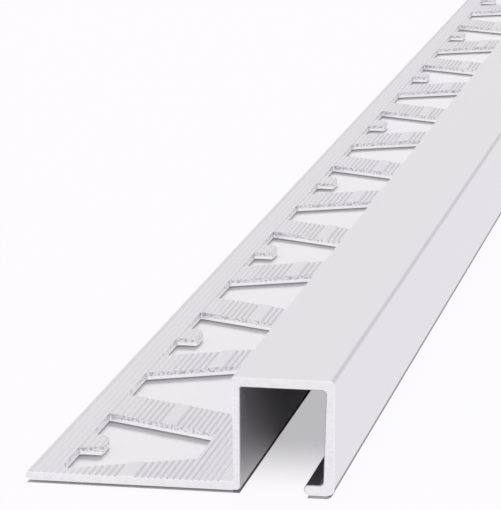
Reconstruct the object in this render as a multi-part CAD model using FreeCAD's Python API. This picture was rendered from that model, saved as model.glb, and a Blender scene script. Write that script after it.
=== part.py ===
# Square edge tile trim: one aluminium extrusion, cut to length and punched along its leg.
#
# The section is a flat anchoring leg, a hollow square edge that stays visible beside the tile, and
# a short lip turned in under it, which leaves a mouth along the underside. Tile adhesive keys into
# the row of trapezoid slots in the leg. They point to the box and to the free edge in turn, and a
# rounded tab is left standing in each slot that has its wide side at the free edge.
#
# Frame, in millimetres: Y runs along the trim, X across it from the leg's free edge (-X) to the
# outer face of the box (+X), and Z is up. The origin is the middle of the trim, at floor level.

import FreeCAD, Part
import math
import os

# Section. The outer wall thickens from the box's ceiling down to its foot, and the lip hangs a
# little lower than the leg, so that it beds first.
trim_length = 1000.0
overall_height = 11.0
leg_reach = 19.8
box_width = 9.55
leg_thickness = 0.85
inner_wall = 0.75
top_wall = 0.9
outer_wall = 0.75
foot_wall = 1.05
lip_thickness = 1.05
lip_reach = 2.85
lip_drop = 0.2

# Rounding of the section's corners
heel_radius = 0.4
tile_edge_radius = 0.1
shoulder_radius = 0.45
foot_radius = 0.85
lip_nose_top_radius = 0.4
leg_root_radius = 0.1
chamber_inner_radius = 0.15
chamber_outer_radius = 0.4

# Punched slots of the leg
slot_pitch = 21.65
slot_wide_side = 19.8
slot_narrow_side = 8.7
free_edge_margin = 2.95
box_margin = 4.85
end_margin = 1.6
slot_corner_radius = 0.3
tab_width = 4.65
tab_reach = 2.25
punch_overrun = 1.0

overall_width = leg_reach + box_width
free_edge_x = -overall_width / 2
box_x = free_edge_x + leg_reach
outer_x = box_x + box_width
near_end_y = -trim_length / 2

# Two points nearer than this are one point
joined = 1e-6


def direction(origin, target):
    """The unit vector from one corner of an outline to another."""
    du = target[0] - origin[0]
    dv = target[1] - origin[1]
    size = math.hypot(du, dv)
    return du / size, dv / size


def rounded_face(corners, place):
    """A flat face whose outline is straight sides joined by tangent arcs.

    corners lists (u, v, radius) in order round the outline. place turns (u, v) into a point.
    """
    arcs = []
    count = len(corners)
    for i, (u, v, radius) in enumerate(corners):
        back = direction(corners[i], corners[i - 1])
        ahead = direction(corners[i], corners[(i + 1) % count])
        half_angle = math.acos(back[0] * ahead[0] + back[1] * ahead[1]) / 2
        setback = radius / math.tan(half_angle)
        inward = direction((0, 0), (back[0] + ahead[0], back[1] + ahead[1]))
        depth = radius / math.sin(half_angle) - radius
        first = place(u + back[0] * setback, v + back[1] * setback)
        middle = place(u + inward[0] * depth, v + inward[1] * depth)
        last = place(u + ahead[0] * setback, v + ahead[1] * setback)
        arcs.append((first, middle, last))
    edges = []
    for i, (first, middle, last) in enumerate(arcs):
        edges.append(Part.Arc(first, middle, last).toShape())
        following = arcs[(i + 1) % count][0]
        if last.distanceToPoint(following) > joined:
            edges.append(Part.LineSegment(last, following).toShape())
    return Part.Face(Part.Wire(edges))


def extrusion():
    """The plain length of stock: its section at the near end, drawn out along +Y."""
    chamber_inner_x = box_x + inner_wall
    chamber_outer_x = outer_x - outer_wall
    chamber_foot_x = outer_x - foot_wall
    chamber_top = overall_height - top_wall
    lip_x = outer_x - lip_reach
    leg_top = lip_drop + leg_thickness
    leg_tip_radius = leg_thickness / 2
    lip_nose_under_radius = lip_thickness - lip_nose_top_radius
    section = [
        (free_edge_x, lip_drop, leg_tip_radius),
        (chamber_inner_x, lip_drop, heel_radius),
        (chamber_inner_x, chamber_top, chamber_inner_radius),
        (chamber_outer_x, chamber_top, chamber_outer_radius),
        (chamber_foot_x, lip_thickness, chamber_outer_radius),
        (lip_x, lip_thickness, lip_nose_top_radius),
        (lip_x, 0, lip_nose_under_radius),
        (outer_x, 0, foot_radius),
        (outer_x, overall_height, shoulder_radius),
        (box_x, overall_height, tile_edge_radius),
        (box_x, leg_top, leg_root_radius),
        (free_edge_x, leg_top, leg_tip_radius),
    ]
    face = rounded_face(section, lambda x, z: FreeCAD.Vector(x, near_end_y, z))
    return face.extrude(FreeCAD.Vector(0, trim_length, 0))


def slot_outline(centre_y, wide_at_free_edge):
    """One slot in plan: a trapezoid, with the tab in it if its wide side is at the free edge."""
    free_side_x = free_edge_x + free_edge_margin
    box_side_x = box_x - box_margin
    at_free_side = slot_wide_side if wide_at_free_edge else slot_narrow_side
    at_box_side = slot_narrow_side if wide_at_free_edge else slot_wide_side
    outline = [
        (free_side_x, centre_y - at_free_side / 2, slot_corner_radius),
        (box_side_x, centre_y - at_box_side / 2, slot_corner_radius),
        (box_side_x, centre_y + at_box_side / 2, slot_corner_radius),
        (free_side_x, centre_y + at_free_side / 2, slot_corner_radius),
    ]
    if wide_at_free_edge:
        tab_x = free_side_x + tab_reach
        tab_round = tab_reach - slot_corner_radius
        outline += [
            (free_side_x, centre_y + tab_width / 2, slot_corner_radius),
            (tab_x, centre_y + tab_width / 2, tab_round),
            (tab_x, centre_y - tab_width / 2, slot_corner_radius),
            (free_side_x, centre_y - tab_width / 2, slot_corner_radius),
        ]
    return outline


def slot_punches():
    """A punch for every slot that the length has room for, past both faces of the leg."""
    first_centre_y = near_end_y + end_margin + slot_wide_side / 2
    room = trim_length - 2 * end_margin - slot_wide_side
    slot_count = math.floor(room / slot_pitch) + 1
    punch_z = lip_drop - punch_overrun
    stroke = FreeCAD.Vector(0, 0, leg_thickness + 2 * punch_overrun)
    punches = []
    for i in range(slot_count):
        outline = slot_outline(first_centre_y + i * slot_pitch, i % 2 == 0)
        face = rounded_face(outline, lambda x, y: FreeCAD.Vector(x, y, punch_z))
        punches.append(face.extrude(stroke))
    return punches


def tile_trim():
    """The finished trim, one solid."""
    return extrusion().cut(slot_punches()).removeSplitter()


os.makedirs("parts", exist_ok=True)
trim = tile_trim()
trim.exportStep("parts/tile_trim.step")
print(f"tile_trim: {len(trim.Solids)} solid, valid {trim.isValid()}, {trim.Volume:.1f} mm3")
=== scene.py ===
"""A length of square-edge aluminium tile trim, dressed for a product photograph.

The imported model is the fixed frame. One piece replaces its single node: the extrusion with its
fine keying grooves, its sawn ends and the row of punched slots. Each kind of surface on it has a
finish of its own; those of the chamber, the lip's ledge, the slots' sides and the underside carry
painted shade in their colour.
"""

import logging
import math
from collections.abc import Callable, Iterable
from dataclasses import dataclass, replace
from enum import Enum
from functools import cache
from itertools import pairwise

import bmesh
import bpy
from mathutils import Matrix, Vector


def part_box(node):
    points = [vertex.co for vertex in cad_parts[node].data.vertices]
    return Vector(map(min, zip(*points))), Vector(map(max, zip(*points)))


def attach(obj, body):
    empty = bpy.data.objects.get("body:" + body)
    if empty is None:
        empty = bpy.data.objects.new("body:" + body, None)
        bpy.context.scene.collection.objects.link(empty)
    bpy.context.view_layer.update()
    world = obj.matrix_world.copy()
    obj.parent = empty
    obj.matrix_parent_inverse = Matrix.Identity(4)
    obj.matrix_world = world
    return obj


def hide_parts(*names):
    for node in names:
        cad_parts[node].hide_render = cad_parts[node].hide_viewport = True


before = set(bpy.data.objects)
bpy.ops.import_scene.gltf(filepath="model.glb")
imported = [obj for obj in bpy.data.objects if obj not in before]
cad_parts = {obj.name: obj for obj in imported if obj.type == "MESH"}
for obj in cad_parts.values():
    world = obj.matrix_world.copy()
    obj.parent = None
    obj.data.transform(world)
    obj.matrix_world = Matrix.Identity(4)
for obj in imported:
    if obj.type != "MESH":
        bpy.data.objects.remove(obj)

# The trim is modelled in millimetres, and the finished mesh is made metres
MM = 0.001
NODE = "tile_trim"
BODY = "root"
# Two places nearer than this, in millimetres, are one place
SAME_PLACE = 0.002
# Two edges that are in line within this angle are one straight side
STRAIGHT = math.radians(0.1)
# The bevel profile that is an arc
ROUND_PROFILE = 0.5

# How much of its normal a face has along an axis, at least, to be taken as facing that way: the
# sawn ends along the trim, the slots' sides across it, level faces up, and the underside down
FACES_ALONG = 0.9
FACES_ACROSS = 0.7
FACES_UP = 0.3
FACES_DOWN = 0.05

# The shared streaks: the scale and the detail of the fine ones and of the cloud, and the value
# that they vary about
FINE_SCALE, FINE_DETAIL = 1.0, 3.0
CLOUD_SCALE, CLOUD_DETAIL = 0.12, 2.0
MIDDLE = 0.5
# A ray that has met no matt surface yet has a diffuse depth below this
NO_MATT_BOUNCE = 0.5

log = logging.getLogger("tile_trim_scene")

Tree = bpy.types.NodeTree
Socket = bpy.types.NodeSocket
Value = Socket | float | tuple[float, ...]
Colour = tuple[float, float, float]
Range = tuple[float, float]
Test = Callable[[Vector], bool]
MeshPart = bmesh.types.BMVert | bmesh.types.BMEdge | bmesh.types.BMFace


class Surface(Enum):
    """The kinds of surface on the metal, in the order of the piece's material slots."""

    SKIN = 0
    SAWN = 1
    PUNCHED = 2
    CHAMBER = 3
    EDGE = 4
    KEYED = 5
    LEDGE = 6
    PUNCHED_SIDE = 7
    UNDERSIDE = 8


class End(Enum):
    """The two sawn ends of the length, by the sign of their outward normal along Y."""

    NEAR = -1
    FAR = 1


class Pick(Enum):
    """What is picked in edit mode: Blender's name of the mode, and of the mesh's list."""

    VERTICES = ("VERT", "verts")
    EDGES = ("EDGE", "edges")
    FACES = ("FACE", "faces")


def deselect_objects() -> None:
    """Leave object mode's selection empty, so that an operator acts on nothing by accident."""
    bpy.ops.object.select_all(action="DESELECT")


def activate(piece: bpy.types.Object) -> None:
    """Select one object alone and make it the active one.

    Args:
        piece: The object that the next operators act on.
    """
    deselect_objects()
    piece.select_set(True)
    bpy.context.view_layer.objects.active = piece


def apply_modifier(piece: bpy.types.Object, kind: str, **settings: object) -> None:
    """Add a modifier, set it and apply it.

    Args:
        piece: The object that gets the modifier.
        kind: The modifier's type, as Blender names it.
        settings: The modifier's own properties.
    """
    activate(piece)
    bpy.ops.object.modifier_add(type=kind)
    modifier = piece.modifiers[-1]
    for name, value in settings.items():
        setattr(modifier, name, value)
    bpy.ops.object.modifier_apply(modifier=modifier.name)


class Sketch:
    """A mesh that is being shaped in edit mode, with elements selected by their place."""

    def __init__(self, name: str, upright: bool) -> None:
        """Start edit mode on a flat square, one unit wide, about the origin.

        Args:
            name: The name that the object gets.
            upright: Whether the square stands in the XZ plane, or lies in the XY plane.
        """
        deselect_objects()
        turn = math.pi / 2 if upright else 0.0
        bpy.ops.mesh.primitive_plane_add(size=1.0, rotation=(turn, 0, 0))
        bpy.ops.object.transform_apply()
        self.piece = bpy.context.active_object
        self.piece.name = name
        bpy.ops.object.mode_set(mode="EDIT")
        bpy.ops.mesh.select_all(action="DESELECT")

    def mesh(self) -> bmesh.types.BMesh:
        """The edit mesh, as it is now."""
        return bmesh.from_edit_mesh(self.piece.data)

    def pick(self, kind: Pick, wanted: Callable[[MeshPart], bool]) -> None:
        """Select the elements of one kind that are wanted, alone.

        Args:
            kind: Whether vertices, edges or faces are picked.
            wanted: Says of an element whether it is selected.
        """
        mode, elements = kind.value
        bpy.ops.mesh.select_all(action="DESELECT")
        bpy.ops.mesh.select_mode(type=mode)
        mesh = self.mesh()
        for element in getattr(mesh, elements):
            element.select = wanted(element)
        mesh.select_flush_mode()
        bmesh.update_edit_mesh(self.piece.data)

    def pick_vertices(self, test: Test) -> None:
        """Select the vertices whose places pass a test, alone."""
        self.pick(Pick.VERTICES, lambda vertex: test(vertex.co))

    def pick_edges(self, test: Test) -> None:
        """Select the edges whose two ends both pass a test, alone."""
        self.pick(Pick.EDGES, lambda edge: all(test(vertex.co) for vertex in edge.verts))

    def pick_all_faces(self) -> None:
        """Select every face."""
        bpy.ops.mesh.select_mode(type="FACE")
        bpy.ops.mesh.select_all(action="SELECT")

    def fit_square(self, low: Vector, high: Vector) -> None:
        """Make the starting square the rectangle between two corners.

        Args:
            low: Its lowest corner.
            high: Its highest corner.
        """
        span = [side if side > SAME_PLACE else 1.0 for side in high - low]
        bpy.ops.mesh.select_all(action="SELECT")
        bpy.ops.transform.resize(value=span)
        bpy.ops.transform.translate(value=(low + high) / 2)

    def extend(self, test: Test, move: Vector) -> None:
        """Extrude the edges whose two ends both pass a test."""
        self.pick_edges(test)
        bpy.ops.mesh.extrude_region_move(TRANSFORM_OT_translate={"value": move})

    def shift(self, test: Test, move: Vector) -> None:
        """Move the vertices whose places pass a test."""
        self.pick_vertices(test)
        bpy.ops.transform.translate(value=move)

    def merge_faces(self) -> None:
        """Make one face of all the flat faces, with no vertex left along a straight side."""
        self.pick_all_faces()
        bpy.ops.mesh.dissolve_faces()
        straight = [vertex.co.copy() for vertex in self.mesh().verts if on_straight_side(vertex)]
        self.pick_vertices(lambda at: any((at - place).length < SAME_PLACE for place in straight))
        bpy.ops.mesh.dissolve_verts()

    def round_corner(self, corner: Test, radius: float, segments: int) -> None:
        """Round one corner of a flat face's outline.

        Args:
            corner: The zone of the corner.
            radius: The arc's radius, for a corner of about 90 degrees.
            segments: How many straight runs make the arc.
        """
        self.pick_vertices(corner)
        bpy.ops.mesh.bevel(
            offset=radius, segments=segments, affect="VERTICES", profile=ROUND_PROFILE
        )

    def draw_out(self, move: Vector) -> None:
        """Extrude the flat face into a solid."""
        self.pick_all_faces()
        bpy.ops.mesh.extrude_region_move(TRANSFORM_OT_translate={"value": move})

    def turn_outwards(self) -> None:
        """Turn every face outwards."""
        bpy.ops.mesh.select_all(action="SELECT")
        bpy.ops.mesh.normals_make_consistent(inside=False)

    def finish(self) -> bpy.types.Object:
        """Turn the faces outwards and go back to object mode.

        Returns:
            The object.
        """
        self.turn_outwards()
        bpy.ops.mesh.select_all(action="DESELECT")
        bpy.ops.object.mode_set(mode="OBJECT")
        return self.piece


def on_straight_side(vertex: bmesh.types.BMVert) -> bool:
    """Whether a vertex of a flat outline lies between two edges in one line."""
    first, second = (edge.other_vert(vertex).co - vertex.co for edge in vertex.link_edges)
    return math.isclose(first.angle(second), math.pi, abs_tol=STRAIGHT)


@dataclass(frozen=True)
class Zone:
    """Where vertices are picked: a range along each axis, or all of the axis where it has none."""

    x: Range | None = None
    y: Range | None = None
    z: Range | None = None

    def __call__(self, at: Vector) -> bool:
        """Say whether a place lies in the zone or on its edge.

        Args:
            at: The place.

        Returns:
            Whether it does.
        """
        ranges = (self.x, self.y, self.z)
        return all(
            limit is None or limit[0] - SAME_PLACE <= value <= limit[1] + SAME_PLACE
            for value, limit in zip(at, ranges)
        )


def on_section(x: float, z: float) -> Zone:
    """The zone of one point of the section, wherever it is along the trim."""
    return Zone(x=(x, x), z=(z, z))


def in_plan(x: float, y: float) -> Zone:
    """The zone of one point of the plan, at whatever level."""
    return Zone(x=(x, x), y=(y, y))


@dataclass(frozen=True)
class Section:
    """The extrusion's section. Its outer sizes come from the frame, the others are its walls."""

    low: Vector
    high: Vector
    leg_reach: float = 19.8
    leg_thickness: float = 0.85
    inner_wall: float = 0.75
    top_wall: float = 0.9
    outer_wall: float = 0.75
    foot_wall: float = 1.05
    lip_thickness: float = 1.05
    lip_reach: float = 2.85
    lip_drop: float = 0.2
    heel_radius: float = 0.4
    tile_edge_radius: float = 0.1
    shoulder_radius: float = 0.45
    foot_radius: float = 0.85
    nose_top_radius: float = 0.4
    root_radius: float = 0.1
    chamber_inner_radius: float = 0.15
    chamber_outer_radius: float = 0.4

    @property
    def free_x(self) -> float:
        """The leg's free edge."""
        return self.low.x

    @property
    def box_x(self) -> float:
        """The side of the box that the tile butts against."""
        return self.low.x + self.leg_reach

    @property
    def outer_x(self) -> float:
        """The box's outer side."""
        return self.high.x

    @property
    def near_y(self) -> float:
        """The near cut."""
        return self.low.y

    @property
    def far_y(self) -> float:
        """The far cut."""
        return self.high.y

    @property
    def heel_z(self) -> float:
        """The level of the leg's underside."""
        return self.low.z + self.lip_drop

    @property
    def ceiling(self) -> float:
        """The level of the chamber's ceiling."""
        return self.high.z - self.top_wall

    @property
    def chamber_x(self) -> float:
        """The chamber's side at the tile."""
        return self.box_x + self.inner_wall

    @property
    def wall_x(self) -> float:
        """The outer wall's inner face at the ceiling."""
        return self.outer_x - self.outer_wall

    @property
    def foot_x(self) -> float:
        """The outer wall's inner face at the lip, where the wall is thicker."""
        return self.outer_x - self.foot_wall

    @property
    def lip_x(self) -> float:
        """The lip's nose."""
        return self.outer_x - self.lip_reach

    @property
    def lip_z(self) -> float:
        """The level of the lip's upper face."""
        return self.low.z + self.lip_thickness

    @property
    def leg_top(self) -> float:
        """The level of the leg's smooth upper face."""
        return self.low.z + self.lip_drop + self.leg_thickness

    def corners(self) -> list[tuple[float, float, float, int]]:
        """List the corners of the outline, in order round it.

        Returns:
            The x, the z, the radius and the number of segments of each.
        """
        tip = self.leg_thickness / 2
        nose_under = self.lip_thickness - self.nose_top_radius - SAME_PLACE
        return [
            (self.free_x, self.heel_z, tip, 4),
            (self.chamber_x, self.heel_z, self.heel_radius, 8),
            (self.chamber_x, self.ceiling, self.chamber_inner_radius, 4),
            (self.wall_x, self.ceiling, self.chamber_outer_radius, 7),
            (self.foot_x, self.lip_z, self.chamber_outer_radius, 7),
            (self.lip_x, self.lip_z, self.nose_top_radius, 6),
            (self.lip_x, self.low.z, nose_under, 8),
            (self.outer_x, self.low.z, self.foot_radius, 10),
            (self.outer_x, self.high.z, self.shoulder_radius, 8),
            (self.box_x, self.high.z, self.tile_edge_radius, 4),
            (self.box_x, self.leg_top, self.root_radius, 4),
            (self.free_x, self.leg_top, tip, 4),
        ]


@dataclass(frozen=True)
class GrooveBand:
    """A band of fine V grooves that runs the length of the leg, for the adhesive's grip.

    The first groove is the nearest to the box. The grooves are deepest beside the smooth strip
    between the two bands.
    """

    first_from_box: float
    last_from_box: float
    first_depth: float
    last_depth: float
    count: int = 14
    ridge_drop: float = 0.06
    runs_per_groove: int = 4

    @property
    def pitch(self) -> float:
        """The distance between two grooves."""
        return (self.last_from_box - self.first_from_box) / (self.count - 1)

    def depth(self, index: int) -> float:
        """How deep below the ridges one groove is, counted from 0 at the box."""
        share = index / (self.count - 1)
        return self.first_depth + (self.last_depth - self.first_depth) * share

    def limits(self, box_x: float) -> Range:
        """The band's edge nearer to the leg's free edge, and its edge nearer to the box."""
        half = self.pitch / 2
        return box_x - self.last_from_box - half, box_x - self.first_from_box + half


@dataclass(frozen=True)
class SlotRow:
    """The row of trapezoid slots punched in the leg."""

    pitch: float = 21.65
    wide: float = 19.8
    narrow: float = 8.7
    free_margin: float = 2.95
    box_margin: float = 4.85
    end_margin: float = 1.6
    corner: float = 0.3
    corner_segments: int = 4
    tab_segments: int = 10
    tab_width: float = 4.65
    tab_reach: float = 2.25
    overrun: float = 1.0

    def count(self, length: float) -> int:
        """How many slots a length of trim has room for."""
        room = length - 2 * self.end_margin - self.wide
        return math.floor(room / self.pitch + SAME_PLACE) + 1


def opaque(colour: Colour) -> tuple[float, ...]:
    """A colour as a colour socket takes it, with an alpha of 1."""
    return (*colour, 1.0)


@dataclass(frozen=True)
class Wiring:
    """Adds nodes to one node tree and wires them up."""

    tree: Tree

    def feed(self, value: Value, socket: Socket) -> None:
        """Give a socket its value.

        Args:
            value: The value, or the socket that it comes from.
            socket: The socket that gets it.
        """
        if isinstance(value, Socket):
            self.tree.links.new(value, socket)
        else:
            socket.default_value = value

    def node(self, kind: str, inputs: dict[str, Value], **settings: object) -> bpy.types.Node:
        """Add a node, set it and feed its inputs.

        Args:
            kind: The node's type, as Blender names it.
            inputs: What its inputs get, by name.
            settings: The node's own properties.

        Returns:
            The node.
        """
        made = self.tree.nodes.new(kind)
        for name, setting in settings.items():
            setattr(made, name, setting)
        for name, value in inputs.items():
            self.feed(value, made.inputs[name])
        return made

    def place(self) -> Socket:
        """The place on the object, in its own coordinates."""
        return self.node("ShaderNodeTexCoord", {}).outputs["Object"]

    def axes(self, vector: Socket) -> Iterable[Socket]:
        """The three parts of a vector: X, Y and Z."""
        return self.node("ShaderNodeSeparateXYZ", {"Vector": vector}).outputs

    def noise(self, vector: Socket, scale: Value, detail: float = 1.0) -> Socket:
        """Noise from 0 to 1, with as many cells for each unit of the vector as its scale says."""
        inputs = {"Vector": vector, "Scale": scale, "Detail": detail}
        return self.node("ShaderNodeTexNoise", inputs).outputs["Fac"]

    def work_out(self, operation: str, first: Value, second: Value) -> Socket:
        """Work out a value from two others.

        Args:
            operation: What is done, as Blender names it.
            first: The first value.
            second: The second value.

        Returns:
            The socket that the result comes from.
        """
        made = self.node("ShaderNodeMath", {}, operation=operation)
        for value, socket in zip((first, second), made.inputs):
            self.feed(value, socket)
        return made.outputs["Value"]

    def between(self, value: Socket, low: float, high: float) -> Socket:
        """Make a mask that is 1 where a value lies between two limits, and 0 elsewhere.

        Args:
            value: The value's socket.
            low: The lower limit.
            high: The upper limit.

        Returns:
            The socket of the mask.
        """
        past = self.work_out("GREATER_THAN", value, low)
        before = self.work_out("LESS_THAN", value, high)
        return self.work_out("MULTIPLY", past, before)

    def ramp(self, value: Socket, low: Value, high: Value) -> Socket:
        """Make a mask that rises smoothly from 0 to 1 as a value goes from one limit to another.

        Args:
            value: The value's socket.
            low: Where the mask starts to rise.
            high: Where it reaches 1.

        Returns:
            The socket of the mask.
        """
        inputs = {"Value": value, "From Min": low, "From Max": high}
        rise = self.node("ShaderNodeMapRange", inputs, interpolation_type="SMOOTHSTEP")
        return rise.outputs["Result"]

    def choose(self, mask: Socket, outside: Value, inside: Value) -> Socket:
        """Pass on the first number where a mask is 0, and the second where it is 1."""
        inputs = {"Factor": mask, "A": outside, "B": inside}
        return self.node("ShaderNodeMix", inputs).outputs["Result"]

    def choose_colour(self, mask: Socket, outside: Value, inside: Value) -> Socket:
        """Pass on the first colour where a mask is 0, and the second where it is 1."""
        inputs = {"Factor": mask, "A": outside, "B": inside}
        return self.node("ShaderNodeMix", inputs, data_type="RGBA").outputs["Result"]

    def relief(self, height: Socket, distance: float) -> Socket:
        """The normal of a relief in which a height of 1 stands out by a distance in metres."""
        inputs = {"Height": height, "Strength": 1.0, "Distance": distance}
        return self.node("ShaderNodeBump", inputs).outputs["Normal"]


def start_group(name: str, numbers: Iterable[str], results: Iterable[str]) -> bpy.types.NodeTree:
    """Start a shader node group that reads a vector.

    Args:
        name: The group's name.
        numbers: The names of its other inputs, which are numbers.
        results: The names of its outputs, which are numbers.

    Returns:
        The group.
    """
    group = bpy.data.node_groups.new(name, "ShaderNodeTree")
    group.interface.new_socket("Vector", in_out="INPUT", socket_type="NodeSocketVector")
    for number in numbers:
        group.interface.new_socket(number, in_out="INPUT", socket_type="NodeSocketFloat")
    for result in results:
        group.interface.new_socket(result, in_out="OUTPUT", socket_type="NodeSocketFloat")
    return group


@cache
def streak_group() -> bpy.types.NodeTree:
    """The shared effect of fine streaks with a soft cloud over them, as worked metal has.

    Returns:
        A shader node group. Its inputs are the coordinates, already stretched along the streaks,
        the cloud's share and the contrast about the middle. It puts out a value from 0 to 1.
    """
    group = start_group("metal_streaks", ("Cloud", "Contrast"), ("Value",))
    wiring = Wiring(group)
    inlet = wiring.node("NodeGroupInput", {}).outputs
    fine = wiring.noise(inlet["Vector"], FINE_SCALE, FINE_DETAIL)
    cloud = wiring.noise(inlet["Vector"], CLOUD_SCALE, CLOUD_DETAIL)
    mixed = wiring.choose(inlet["Cloud"], fine, cloud)
    about_middle = wiring.work_out("SUBTRACT", mixed, MIDDLE)
    stretched = wiring.work_out("MULTIPLY", about_middle, inlet["Contrast"])
    value = wiring.work_out("ADD", stretched, MIDDLE)
    value.node.use_clamp = True
    wiring.node("NodeGroupOutput", {"Value": value})
    return group


@cache
def torn_group() -> bpy.types.NodeTree:
    """The shared effect of a punched wall, which is sheared low down and torn above that.

    Returns:
        A shader node group. Its inputs are the coordinates, the level that the torn part starts
        from and the height that it sets in over, how far that level wavers, and the scales of the
        waver and of the torn part's grain. It puts out the torn part's mask and its grain.
    """
    numbers = ("Start", "Over", "Waver", "Waver Scale", "Grain Scale")
    group = start_group("torn_metal", numbers, ("Torn", "Grain"))
    wiring = Wiring(group)
    inlet = wiring.node("NodeGroupInput", {}).outputs
    _, _, height = wiring.axes(inlet["Vector"])
    waver = wiring.noise(inlet["Vector"], inlet["Waver Scale"])
    shift = wiring.work_out("MULTIPLY", waver, inlet["Waver"])
    level = wiring.work_out("ADD", height, shift)
    middle = wiring.work_out("MULTIPLY", inlet["Waver"], MIDDLE)
    start = wiring.work_out("ADD", inlet["Start"], middle)
    torn = wiring.ramp(level, start, wiring.work_out("ADD", start, inlet["Over"]))
    grain = wiring.noise(inlet["Vector"], inlet["Grain Scale"])
    wiring.node("NodeGroupOutput", {"Torn": torn, "Grain": grain})
    return group


@dataclass(frozen=True)
class Finish:
    """A worked metal surface: its colour, its gloss and the streaks that its working left."""

    name: str
    dark: Colour
    pale: Colour
    roughness: float
    roughness_spread: float
    streaks_per_metre: tuple[float, float, float]
    cloud: float
    relief: float
    contrast: float = 1.0

    def material(self) -> bpy.types.Material:
        """Make the finish's material.

        Returns:
            The material.
        """
        made = bpy.data.materials.new(self.name)
        made.use_nodes = True
        wiring = Wiring(made.node_tree)
        shader = made.node_tree.nodes["Principled BSDF"].inputs
        shader["Metallic"].default_value = 1.0
        effects = self._effects(wiring)
        wiring.feed(self._colour(wiring, effects), shader["Base Color"])
        wiring.feed(self._roughness(wiring, effects), shader["Roughness"])
        wiring.feed(self._normal(wiring, effects), shader["Normal"])
        return made

    def _effects(self, wiring: Wiring) -> dict[str, Socket]:
        """Place the shared effects in the material, with the finish's own values.

        Args:
            wiring: The material's wiring.

        Returns:
            What the effects put out, by name.
        """
        stretch = {"Vector": wiring.place(), "Scale": self.streaks_per_metre}
        inputs = {
            "Vector": wiring.node("ShaderNodeMapping", stretch).outputs["Vector"],
            "Cloud": self.cloud,
            "Contrast": self.contrast,
        }
        streaks = wiring.node("ShaderNodeGroup", inputs, node_tree=streak_group())
        return {"streaks": streaks.outputs["Value"]}

    def _colour(self, wiring: Wiring, effects: dict[str, Socket]) -> Socket:
        """Let the streaks shade the colour from dark to pale."""
        return wiring.choose_colour(effects["streaks"], opaque(self.dark), opaque(self.pale))

    def _roughness(self, wiring: Wiring, effects: dict[str, Socket]) -> Socket:
        """Let the streaks spread the roughness about its middle.

        Args:
            wiring: The material's wiring.
            effects: What the shared effects put out.

        Returns:
            The socket of the roughness.
        """
        inputs = {
            "Value": effects["streaks"],
            "To Min": self.roughness - self.roughness_spread,
            "To Max": self.roughness + self.roughness_spread,
        }
        return wiring.node("ShaderNodeMapRange", inputs).outputs["Result"]

    def _normal(self, wiring: Wiring, effects: dict[str, Socket]) -> Socket:
        """Let the streaks stand in relief."""
        return wiring.relief(effects["streaks"], self.relief)


@dataclass(frozen=True)
class TornWall(Finish):
    """A punched wall: bright where the punch sheared it, below, and torn and dull above that."""

    torn_dark: Colour = (0.56, 0.552, 0.565)
    torn_pale: Colour = (0.9, 0.885, 0.905)
    torn_roughness: float = 0.5
    torn_from: float = 0.5 * MM
    torn_over: float = 0.1 * MM
    waver: float = 0.14 * MM
    waver_per_metre: float = 900.0
    grain_per_metre: float = 3300.0
    grain_limits: Range = (0.34, 0.54)
    torn_relief: float = 0.012 * MM

    def _effects(self, wiring: Wiring) -> dict[str, Socket]:
        """Add the torn part and its grain to the streaks.

        Args:
            wiring: The material's wiring.

        Returns:
            What the effects put out, by name.
        """
        inputs = {
            "Vector": wiring.place(),
            "Start": self.torn_from,
            "Over": self.torn_over,
            "Waver": self.waver,
            "Waver Scale": self.waver_per_metre,
            "Grain Scale": self.grain_per_metre,
        }
        tear = wiring.node("ShaderNodeGroup", inputs, node_tree=torn_group()).outputs
        return super()._effects(wiring) | {"torn": tear["Torn"], "grain": tear["Grain"]}

    def _colour(self, wiring: Wiring, effects: dict[str, Socket]) -> Socket:
        """Shade the sheared part by its streaks, and mottle the torn part.

        Args:
            wiring: The material's wiring.
            effects: What the shared effects put out.

        Returns:
            The socket of the colour.
        """
        mottle = wiring.ramp(effects["grain"], *self.grain_limits)
        torn = wiring.choose_colour(mottle, opaque(self.torn_dark), opaque(self.torn_pale))
        return wiring.choose_colour(effects["torn"], super()._colour(wiring, effects), torn)

    def _roughness(self, wiring: Wiring, effects: dict[str, Socket]) -> Socket:
        """Make the torn part rougher than the sheared one."""
        sheared = super()._roughness(wiring, effects)
        return wiring.choose(effects["torn"], sheared, self.torn_roughness)

    def _normal(self, wiring: Wiring, effects: dict[str, Socket]) -> Socket:
        """Give the torn part a coarse relief, and the sheared one that of its streaks.

        Args:
            wiring: The material's wiring.
            effects: What the shared effects put out.

        Returns:
            The socket of the normal.
        """
        fine = wiring.work_out("MULTIPLY", effects["streaks"], self.relief)
        coarse = wiring.work_out("MULTIPLY", effects["grain"], self.torn_relief)
        return wiring.relief(wiring.choose(effects["torn"], fine, coarse), 1.0)


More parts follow.
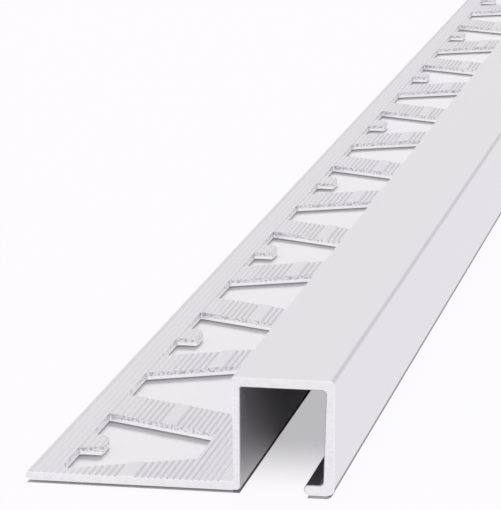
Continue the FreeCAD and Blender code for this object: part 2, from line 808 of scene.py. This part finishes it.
@dataclass
class PunchedTrim:
    """The length of trim: one extrusion, sawn to length, with slots punched in its leg."""

    section: Section
    slots: SlotRow
    finishes: dict[Surface, bpy.types.Material]
    box_side_band: GrooveBand = GrooveBand(1.41, 9.19, first_depth=0.075, last_depth=0.12)
    free_side_band: GrooveBand = GrooveBand(11.16, 19.14, first_depth=0.12, last_depth=0.05)
    chamfer: float = 0.07
    smooth_below: float = 30.0
    name: str = "tile_trim_metal"

    @property
    def length(self) -> float:
        """The trim's length along Y."""
        return self.section.far_y - self.section.near_y

    def build(self) -> bpy.types.Object:
        """Model the trim.

        Returns:
            The object, at the origin, with its place in its mesh.
        """
        sketch = self._outline()
        self._saw_to_length(sketch)
        piece = sketch.finish()
        for cutter in (self._punches(tabbed=True), self._punches(tabbed=False)):
            apply_modifier(piece, "BOOLEAN", operation="DIFFERENCE", object=cutter, solver="EXACT")
            bpy.data.objects.remove(cutter)
        self._shade(piece)
        activate(piece)
        bpy.ops.transform.resize(value=(MM, MM, MM))
        bpy.ops.object.transform_apply()
        return piece

    def _outline(self) -> Sketch:
        """Draw the section: along the leg first, then up, over and down round the box to the lip.

        Returns:
            The sketch of the section, a flat face about the middle of the length.
        """
        s = self.section
        bands = (self.free_side_band, self.box_side_band)
        stops = [x for band in bands for x in band.limits(s.box_x)]
        sketch = Sketch(self.name, upright=True)
        sketch.fit_square(Vector((s.free_x, 0, s.heel_z)), Vector((stops[0], 0, s.leg_top)))
        for here, there in pairwise([*stops, s.box_x, s.chamber_x]):
            sketch.extend(Zone(x=(here, here)), Vector((there - here, 0, 0)))
        leg_side = Zone(x=(s.box_x, s.chamber_x), z=(s.leg_top, s.leg_top))
        sketch.extend(leg_side, Vector((0, 0, s.ceiling - s.leg_top)))
        sketch.extend(Zone(z=(s.ceiling, s.ceiling)), Vector((0, 0, s.top_wall)))
        top_end = Zone(x=(s.chamber_x, s.chamber_x), z=(s.ceiling, s.high.z))
        sketch.extend(top_end, Vector((s.wall_x - s.chamber_x, 0, 0)))
        sketch.extend(Zone(x=(s.wall_x, s.wall_x)), Vector((s.outer_wall, 0, 0)))
        wall_head = Zone(x=(s.wall_x, s.outer_x), z=(s.ceiling, s.ceiling))
        sketch.extend(wall_head, Vector((0, 0, s.lip_z - s.ceiling)))
        sketch.shift(on_section(s.wall_x, s.lip_z), Vector((s.foot_x - s.wall_x, 0, 0)))
        wall_foot = Zone(x=(s.foot_x, s.outer_x), z=(s.lip_z, s.lip_z))
        sketch.extend(wall_foot, Vector((0, 0, -s.lip_thickness)))
        foot_side = Zone(x=(s.foot_x, s.foot_x), z=(s.low.z, s.lip_z))
        sketch.extend(foot_side, Vector((s.lip_x - s.foot_x, 0, 0)))
        for band in bands:
            self._press_band(sketch, band)
        sketch.merge_faces()
        for x, z, radius, segments in s.corners():
            sketch.round_corner(on_section(x, z), radius, segments)
        bpy.ops.mesh.select_all(action="SELECT")
        bpy.ops.mesh.remove_doubles(threshold=2 * SAME_PLACE)
        return sketch

    def _press_band(self, sketch: Sketch, band: GrooveBand) -> None:
        """Press one band of V grooves into the leg's upper side.

        Args:
            sketch: The section's sketch.
            band: The band.
        """
        s = self.section
        low_x, high_x = band.limits(s.box_x)
        runs = band.count * band.runs_per_groove
        run = (high_x - low_x) / runs
        ridge_z = s.leg_top - band.ridge_drop
        sketch.pick_edges(Zone(x=(low_x, high_x), z=(s.leg_top, s.leg_top)))
        bpy.ops.mesh.subdivide(number_cuts=runs - 1)
        inside = Zone(x=(low_x + run, high_x - run), z=(s.leg_top, s.leg_top))
        sketch.shift(inside, Vector((0, 0, -band.ridge_drop)))
        for index in range(band.count):
            x = high_x - (index + 0.5) * band.pitch
            sketch.shift(on_section(x, ridge_z), Vector((0, 0, -band.depth(index))))

    def _saw_to_length(self, sketch: Sketch) -> None:
        """Draw the section out to its length and break the edges of both sawn ends.

        Args:
            sketch: The section's sketch.
        """
        sketch.pick_all_faces()
        bpy.ops.transform.translate(value=(0, self.section.near_y + self.chamfer, 0))
        sketch.draw_out(Vector((0, self.length - 2 * self.chamfer, 0)))
        sketch.turn_outwards()
        for end in End:
            sketch.pick(Pick.FACES, lambda face: face.normal.y * end.value > FACES_ALONG)
            bpy.ops.mesh.inset(thickness=self.chamfer, depth=self.chamfer, use_even_offset=True)
        sketch.pick(Pick.FACES, lambda face: abs(face.normal.y) > FACES_ALONG)
        bpy.ops.mesh.quads_convert_to_tris(quad_method="BEAUTY", ngon_method="BEAUTY")

    def _punches(self, tabbed: bool) -> bpy.types.Object:
        """Model one punch and copy it along the row, for every second slot.

        Args:
            tabbed: Whether these are the slots that are wide at the free edge, with the tab.

        Returns:
            The punches, as one object.
        """
        s, row = self.section, self.slots
        index = 0 if tabbed else 1
        centre = s.near_y + row.end_margin + row.wide / 2 + index * row.pitch
        sides = (s.free_x + row.free_margin, s.box_x - row.box_margin)
        sketch = Sketch("slot_punches", upright=False)
        outline = self._outline_round_tab if tabbed else self._plain_outline
        corners = outline(sketch, sides, centre, s.heel_z - row.overrun)
        sketch.merge_faces()
        for corner in corners:
            sketch.round_corner(corner, row.corner, row.corner_segments)
        sketch.draw_out(Vector((0, 0, s.leg_thickness + 2 * row.overrun)))
        punch = sketch.finish()
        apply_modifier(
            punch,
            "ARRAY",
            count=(row.count(self.length) - index + 1) // 2,
            use_relative_offset=False,
            use_constant_offset=True,
            constant_offset_displace=(0, 2 * row.pitch, 0),
        )
        return punch

    def _plain_outline(
        self, sketch: Sketch, sides: Range, centre: float, under: float
    ) -> list[Zone]:
        """Draw the slot that is wide at the box.

        Args:
            sketch: The punch's sketch.
            sides: The slot's side at the leg's free edge, and its side at the box.
            centre: The slot's middle along the trim.
            under: The level of the outline.

        Returns:
            The corners.
        """
        row = self.slots
        free_x, box_x = sides
        low = Vector((free_x, centre - row.wide / 2, under))
        sketch.fit_square(low, Vector((box_x, centre + row.wide / 2, under)))
        sketch.pick_edges(Zone(x=(free_x, free_x)))
        squeeze = (1.0, row.narrow / row.wide, 1.0)
        bpy.ops.transform.resize(value=squeeze, center_override=(free_x, centre, under))
        return [in_plan(vertex.co.x, vertex.co.y) for vertex in sketch.mesh().verts]

    def _outline_round_tab(
        self, sketch: Sketch, sides: Range, centre: float, under: float
    ) -> list[Zone]:
        """Draw the slot that is wide at the free edge, round the tab left standing in it.

        Args:
            sketch: The punch's sketch.
            sides: The slot's side at the leg's free edge, and its side at the box.
            centre: The slot's middle along the trim.
            under: The level of the outline.

        Returns:
            The corners that are rounded alike. The tab's fuller rounding is done here.
        """
        row = self.slots
        free_x, box_x = sides
        tab_x = free_x + row.tab_reach
        half_tab, half_narrow, half_wide = row.tab_width / 2, row.narrow / 2, row.wide / 2
        flare = half_wide - half_narrow
        flare_at_tab = flare * (box_x - tab_x) / (box_x - free_x)
        low = Vector((tab_x, centre - half_tab, under))
        sketch.fit_square(low, Vector((box_x, centre + half_tab, under)))
        corners = []
        for side in (-1, 1):
            tab_y = centre + side * half_tab
            side_y = centre + side * half_narrow
            sketch.extend(Zone(y=(tab_y, tab_y)), Vector((0, side_y - tab_y, 0)))
            ear = Zone(x=(tab_x, tab_x), y=(min(tab_y, side_y), max(tab_y, side_y)))
            sketch.extend(ear, Vector((free_x - tab_x, 0, 0)))
            sketch.shift(in_plan(free_x, side_y), Vector((0, side * flare, 0)))
            sketch.shift(in_plan(tab_x, side_y), Vector((0, side * flare_at_tab, 0)))
            corners += [
                in_plan(free_x, tab_y),
                in_plan(free_x, centre + side * half_wide),
                in_plan(box_x, side_y),
            ]
        sketch.merge_faces()
        full_round = row.tab_reach - row.corner
        sketch.round_corner(in_plan(tab_x, centre + half_tab), full_round, row.tab_segments)
        return [*corners, in_plan(tab_x, centre - half_tab)]

    def _shade(self, piece: bpy.types.Object) -> None:
        """Sort the faces by their kind of surface, and smooth the rounded ones.

        Args:
            piece: The modelled trim.
        """
        s = self.section
        for surface in Surface:
            piece.data.materials.append(self.finishes[surface])
        ends = (s.near_y + self.chamfer + SAME_PLACE, s.far_y - self.chamfer - SAME_PLACE)
        for face in piece.data.polygons:
            face.material_index = self._surface_of(face, ends).value
        activate(piece)
        bpy.ops.object.shade_smooth_by_angle(angle=math.radians(self.smooth_below))
        apply_modifier(piece, "WEIGHTED_NORMAL", keep_sharp=True)

    def _in_chamber(self, at: Vector) -> bool:
        """Say whether a place is on the chamber's walls, from the heel round to the lip's top.

        Args:
            at: The place.

        Returns:
            Whether it is.
        """
        s = self.section
        in_width = s.chamber_x - s.heel_radius < at.x < s.wall_x + self.chamfer
        in_height = s.heel_z + SAME_PLACE < at.z < s.ceiling + self.chamfer
        on_leg_root = at.x < s.chamber_x - self.chamfer and at.z > s.heel_z + s.heel_radius
        return in_width and in_height and not on_leg_root

    def _surface_of(self, face: bpy.types.MeshPolygon, ends: Range) -> Surface:
        """Tell the kind of surface that a face belongs to.

        Args:
            face: The face.
            ends: Where the broken edges of the near and of the far end stop.

        Returns:
            The kind of surface.
        """
        s, row, at, normal = self.section, self.slots, face.center, face.normal
        # The chamber's walls, with their broken edges at the ends, get the finish with painted shade,
        # and the lip's ledge in the chamber gets its own.
        in_chamber = self._in_chamber(at)
        if not ends[0] < at.y < ends[1]:
            if abs(normal.y) > FACES_ALONG:
                return Surface.SAWN
            return Surface.CHAMBER if in_chamber else Surface.EDGE
        if in_chamber:
            on_lip = at.z < s.lip_z + SAME_PLACE and normal.z > FACES_UP
            return Surface.LEDGE if on_lip else Surface.CHAMBER
        in_slots = s.free_x + row.free_margin / 2 < at.x < s.box_x - row.box_margin / 2
        if in_slots and abs(normal.z) < FACES_UP and at.z < s.leg_top:
            # The slots' walls that face across the trim get the finish with painted shade.
            return Surface.PUNCHED_SIDE if abs(normal.x) > FACES_ACROSS else Surface.PUNCHED
        on_leg = at.x < s.box_x and at.z < s.leg_top + SAME_PLACE
        if on_leg and normal.z > FACES_UP:
            return Surface.KEYED
        # The downward faces under the box get the finish with painted contact shadow.
        if at.x > s.lip_x and normal.z < -FACES_DOWN:
            return Surface.UNDERSIDE
        return Surface.SKIN


def seen_rays(wiring: Wiring) -> tuple[Socket, Socket]:
    """Tell the rays that make the picture from those that only carry light.

    Args:
        wiring: The wiring of the material or world.

    Returns:
        The masks of the camera's own rays, and of those that the metal's gloss sends on.
    """
    path = wiring.node("ShaderNodeLightPath", {}).outputs
    direct = wiring.work_out("LESS_THAN", path["Diffuse Depth"], NO_MATT_BOUNCE)
    return path["Is Camera Ray"], wiring.work_out("MULTIPLY", path["Is Glossy Ray"], direct)


@dataclass(frozen=True)
class Softbox:
    """A broad round lamp for the floor and its shadows, which doesn't show in the metal's gloss."""

    name: str
    azimuth: float
    elevation: float
    distance: float
    size: float
    energy: float

    def hang(self, target: Vector) -> None:
        """Hang the lamp, turned towards what it lights.

        Args:
            target: The place that it lights.
        """
        turn = Matrix.Rotation(math.radians(self.azimuth), 3, "Z")
        rise = Matrix.Rotation(math.radians(self.elevation), 3, "X")
        away = turn @ rise @ Vector((0, self.distance, 0))
        bpy.ops.object.light_add(type="AREA", location=target + away)
        lamp = bpy.context.active_object
        lamp.name = self.name
        lamp.rotation_euler = away.to_track_quat("Z", "Y").to_euler()
        lamp.visible_glossy = False
        lamp.data.shape = "DISK"
        lamp.data.size = self.size
        lamp.data.energy = self.energy


@dataclass(frozen=True)
class FloorPlan:
    """The floor seen from above, in its material, for masks of its zones."""

    wiring: Wiring
    across: Socket
    along: Socket

    def rectangle(self, x: Range, y: Range) -> Socket:
        """Make a mask that is 1 in a rectangle of the floor, and 0 elsewhere.

        Args:
            x: Its limits across the trim, in millimetres.
            y: Its limits along the trim, in millimetres.

        Returns:
            The socket of the mask.
        """
        in_width = self.wiring.between(self.across, x[0] * MM, x[1] * MM)
        in_length = self.wiring.between(self.along, y[0] * MM, y[1] * MM)
        return self.wiring.work_out("MULTIPLY", in_width, in_length)

    def fade(self, near_y: float, depth: float, near: float, deep: float) -> Socket:
        """Let a number pass from near to deep along the trim, over a depth behind near_y."""
        inwards = self.wiring.ramp(self.along, near_y * MM, (near_y + depth) * MM)
        return self.wiring.choose(inwards, near, deep)


@dataclass(frozen=True)
class Studio:
    """The pale floor, the soft light and the camera."""

    section: Section
    slots: SlotRow
    floor_size: float = 8.0
    floor_colour: Colour = (0.982, 0.967, 0.989)
    open_glow: float = 0.98
    # foot_glow and slot_glow are a little painted light that lightens the shadows under the trim;
    # deep_glow and deep_gloss are the painted light deep in the mouth under the box
    foot_glow: float = 0.12
    slot_glow: float = 0.17
    deep_glow: float = 0.5
    mouth_depth: float = 19.5
    deep_gloss: float = 0.045
    gloss_depth: float = 22.0
    slot_gloss: float = 0.92
    shade_inset: float = 0.2
    foot_inset: float = 0.3
    shade_before: float = 0.15
    lip_shade: float = 0.6
    shade_at_heel: float = -0.06
    room_colour: Colour = (1.0, 0.99, 1.0)
    room_light: float = 0.42
    room_glow: float = 0.965
    gloss_high: float = 0.94
    gloss_low: float = 0.995
    gloss_rise: Range = (0.08, 0.26)
    flag_gloss: float = 0.69
    flag_across: Range = (-0.03, 0.07)
    flag_ahead: Range = (0.77, 0.85)
    flag_above: Range = (-0.03, 0.07)
    softbox: Softbox = Softbox(
        "back_softbox", azimuth=5.0, elevation=36.0, distance=6.0, size=2.5, energy=267.0
    )
    lens: float = 231.77
    sensor: float = 36.0
    camera_from_corner: Vector = Vector((58.92, -285.18, 87.75)) * MM
    camera_pan: float = 11.321
    camera_tilt: float = -12.637
    camera_roll: float = -0.344

    @property
    def box_corner(self) -> Vector:
        """The near corner of the box at the tile's side, at floor level, in metres."""
        return Vector((self.section.box_x, self.section.near_y, self.section.low.z)) * MM

    def build(self) -> None:
        """Set the stage: floor, lamp, world and camera."""
        self._floor()
        self.softbox.hang(self.box_corner)
        self._world()
        self._camera()

    def _floor(self) -> None:
        """Lay the pale floor, which keeps the trim's shadows under it and shows white around it."""
        deselect_objects()
        bpy.ops.mesh.primitive_plane_add(size=self.floor_size, location=(0, 0, self.box_corner.z))
        bpy.ops.object.transform_apply()
        floor = bpy.context.active_object
        floor.name = "studio_floor"
        made = bpy.data.materials.new("pale_floor")
        made.use_nodes = True
        tree = made.node_tree
        tree.nodes.clear()
        wiring = Wiring(tree)
        colour = opaque(self.floor_colour)
        diffuse = wiring.node("ShaderNodeBsdfDiffuse", {"Color": colour})
        glow = wiring.node("ShaderNodeEmission", {"Color": colour})
        mix = wiring.node("ShaderNodeMixShader", {"Fac": self._glow_share(wiring)})
        tree.links.new(diffuse.outputs["BSDF"], mix.inputs[1])
        tree.links.new(glow.outputs["Emission"], mix.inputs[2])
        wiring.node("ShaderNodeOutputMaterial", {"Surface": mix.outputs["Shader"]})
        floor.data.materials.append(made)

    def _glow_share(self, wiring: Wiring) -> Socket:
        """How much of the floor's look is plain white, and how much is the light that reaches it.

        The open floor is nearly white to the camera, and white in gloss. Under the trim the camera
        sees the floor mostly as it is lit, so that the slots and the foot keep their shadows,
        lightened by a little painted light; under the box and just before the lip it sees only that.
        In the mouth under the box the floor glows with painted light that fades inwards from the near
        cut, to the camera and in gloss, where the chamber's walls reflect it.

        Args:
            wiring: The floor's wiring.

        Returns:
            The socket of the share.
        """
        s, row = self.section, self.slots
        across, along, _ = wiring.axes(wiring.place())
        plan = FloorPlan(wiring, across, along)
        past_floor = self.floor_size / MM
        nose_x = s.lip_x + s.nose_top_radius
        in_length = (s.near_y - self.shade_before, s.far_y + self.shade_before)
        outline = plan.rectangle(
            (s.free_x + self.shade_inset, s.outer_x - self.foot_inset), in_length
        )
        slots = plan.rectangle(
            (s.free_x + row.free_margin, s.box_x - row.box_margin),
            (s.near_y + row.end_margin, past_floor),
        )
        under_box = plan.rectangle((s.box_x, past_floor), (-past_floor, past_floor))
        mouth = plan.rectangle(
            (s.chamber_x + self.shade_at_heel, nose_x), (-past_floor, in_length[1])
        )
        heel = plan.rectangle((s.box_x, s.chamber_x), in_length)
        before_lip = plan.rectangle(
            (nose_x, s.outer_x - s.foot_radius / 2), (s.near_y - self.lip_shade, s.near_y)
        )
        # A little painted light lightens the shadows under the leg and in the slots.
        under = wiring.choose(slots, self.foot_glow, self.slot_glow)
        under = wiring.choose(under_box, under, 0.0)
        seen = wiring.choose(outline, self.open_glow, under)
        # Painted light in the mouth under the box: the floor glows fully at the near cut and less
        # inwards.
        seen_fade = plan.fade(s.near_y, self.mouth_depth, self.open_glow, self.deep_glow)
        seen = wiring.choose(mouth, seen, seen_fade)
        seen = wiring.choose(before_lip, seen, 0.0)
        gloss = wiring.choose(under_box, self.slot_gloss, 0.0)
        gloss = wiring.choose(outline, 1.0, gloss)
        # In gloss the painted light in the mouth fades inwards too, and the chamber's walls reflect
        # it.
        gloss_fade = plan.fade(s.near_y, self.gloss_depth, self.open_glow, self.deep_gloss)
        gloss = wiring.choose(mouth, gloss, gloss_fade)
        gloss = wiring.choose(heel, gloss, 0.0)
        to_camera, in_gloss = seen_rays(wiring)
        seen = wiring.work_out("MULTIPLY", seen, to_camera)
        gloss = wiring.work_out("MULTIPLY", gloss, in_gloss)
        return wiring.work_out("ADD", seen, gloss)

    def _world(self) -> None:
        """Fill the room with soft light, and show it nearly white to the camera and in gloss."""
        world = bpy.data.worlds.new("soft_room")
        bpy.context.scene.world = world
        world.use_nodes = True
        wiring = Wiring(world.node_tree)
        ground = world.node_tree.nodes["Background"].inputs
        to_camera, in_gloss = seen_rays(wiring)
        strength = wiring.choose(to_camera, self.room_light, self.room_glow)
        strength = wiring.choose(in_gloss, strength, self._room_gloss(wiring))
        wiring.feed(opaque(self.room_colour), ground["Color"])
        wiring.feed(strength, ground["Strength"])

    def _room_gloss(self, wiring: Wiring) -> Socket:
        """How bright the room is in the metal's gloss: a little brighter low down, but for a flag.

        The grey flag stands behind the trim and to its right. It shows in the gloss of the rounded
        shoulder and of the grooves' slopes, and draws them as lines. The flat faces don't reflect it.

        Args:
            wiring: The world's wiring.

        Returns:
            The socket of the strength.
        """
        towards = wiring.node("ShaderNodeTexCoord", {}).outputs["Generated"]
        across, ahead, above = wiring.axes(towards)
        high = wiring.ramp(above, *self.gloss_rise)
        open_room = wiring.choose(high, self.gloss_low, self.gloss_high)
        to_right = wiring.ramp(across, *self.flag_across)
        behind = wiring.ramp(ahead, *self.flag_ahead)
        flag = wiring.work_out("MULTIPLY", to_right, behind)
        flag = wiring.work_out("MULTIPLY", flag, wiring.ramp(above, *self.flag_above))
        return wiring.choose(flag, open_room, self.flag_gloss)

    def _camera(self) -> None:
        """Place the camera as the photograph was taken, measured from the box's near corner."""
        data = bpy.data.cameras.new("photo_camera")
        data.lens = self.lens
        data.sensor_width = self.sensor
        camera = bpy.data.objects.new("photo_camera", data)
        bpy.context.scene.collection.objects.link(camera)
        turn = (
            Matrix.Rotation(math.radians(self.camera_pan), 4, "Z")
            @ Matrix.Rotation(math.radians(90 + self.camera_tilt), 4, "X")
            @ Matrix.Rotation(math.radians(self.camera_roll), 4, "Z")
        )
        camera.matrix_world = Matrix.Translation(self.box_corner + self.camera_from_corner) @ turn
        bpy.context.scene.camera = camera
        bpy.context.scene.view_settings.view_transform = "Standard"


ANODISED_SKIN = Finish(
    name="matt_anodised_skin",
    dark=(0.812, 0.797, 0.82),
    pale=(0.842, 0.827, 0.85),
    roughness=0.36,
    roughness_spread=0.04,
    streaks_per_metre=(5000.0, 8.0, 5000.0),
    cloud=0.4,
    relief=0.002 * MM,
)
KEYED_LEG = replace(
    ANODISED_SKIN,
    name="keyed_leg",
    dark=(0.808, 0.793, 0.816),
    pale=(0.838, 0.823, 0.846),
    roughness=0.4,
)
# Painted shade: the chamber's walls are coloured darker than the skin, for the shade inside the box.
CHAMBER_PAINTED_SHADE = replace(
    ANODISED_SKIN,
    name="chamber_painted_shade",
    dark=(0.595, 0.585, 0.6),
    pale=(0.655, 0.645, 0.66),
    roughness=0.55,
)
# Painted shade: the lip's ledge inside the box is coloured darker still, for the dark inside that it
# faces.
LEDGE_PAINTED_SHADE = replace(
    ANODISED_SKIN,
    name="lip_ledge_painted_shade",
    dark=(0.56, 0.555, 0.565),
    pale=(0.64, 0.635, 0.645),
    roughness=0.42,
)
# Painted shade: the downward faces of the lip and the foot, the foot's rounding among them, are
# coloured dark for the contact shadow along the floor.
UNDERSIDE_PAINTED_SHADE = replace(
    CHAMBER_PAINTED_SHADE,
    name="underside_painted_shade",
    dark=(0.31, 0.305, 0.315),
    pale=(0.37, 0.365, 0.375),
)
SAWN_END = Finish(
    name="bright_sawn_end",
    dark=(0.81, 0.805, 0.82),
    pale=(1.0, 0.995, 1.0),
    roughness=0.35,
    roughness_spread=0.08,
    streaks_per_metre=(1500.0, 1500.0, 3500.0),
    cloud=0.3,
    relief=0.004 * MM,
    contrast=1.8,
)
BRIGHT_EDGE = Finish(
    name="bright_edge",
    dark=(0.95, 0.945, 0.955),
    pale=(0.985, 0.98, 0.99),
    roughness=0.22,
    roughness_spread=0.06,
    streaks_per_metre=(3000.0, 3000.0, 3000.0),
    cloud=0.3,
    relief=0.002 * MM,
)
PUNCHED_WALL = TornWall(
    name="punched_wall",
    dark=(0.92, 0.915, 0.925),
    pale=(1.0, 0.99, 1.0),
    roughness=0.3,
    roughness_spread=0.08,
    streaks_per_metre=(9000.0, 9000.0, 900.0),
    cloud=0.3,
    relief=0.005 * MM,
)
# Painted shade: the slots' walls that face across the trim are coloured darker than those that face
# along it.
PUNCHED_SIDE = replace(
    PUNCHED_WALL,
    name="punched_side_painted_shade",
    dark=(0.7, 0.69, 0.705),
    pale=(0.78, 0.77, 0.785),
)
FINISHES = {
    Surface.SKIN: ANODISED_SKIN,
    Surface.SAWN: SAWN_END,
    Surface.PUNCHED: PUNCHED_WALL,
    Surface.CHAMBER: CHAMBER_PAINTED_SHADE,
    Surface.EDGE: BRIGHT_EDGE,
    Surface.KEYED: KEYED_LEG,
    Surface.LEDGE: LEDGE_PAINTED_SHADE,
    Surface.PUNCHED_SIDE: PUNCHED_SIDE,
    Surface.UNDERSIDE: UNDERSIDE_PAINTED_SHADE,
}


def main() -> None:
    """Build the trim and the studio, and report the piece."""
    logging.basicConfig(level=logging.INFO, format="%(name)s: %(message)s")
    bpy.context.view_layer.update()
    low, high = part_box(NODE)
    section = Section(low=low / MM, high=high / MM)
    slots = SlotRow()
    finishes = {surface: finish.material() for surface, finish in FINISHES.items()}
    piece = PunchedTrim(section, slots, finishes).build()
    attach(piece, BODY)
    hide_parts(NODE)
    mesh = piece.data
    log.info("%s: %d faces, %d vertices", piece.name, len(mesh.polygons), len(mesh.vertices))
    Studio(section, slots).build()


if __name__ == "__main__":
    main()
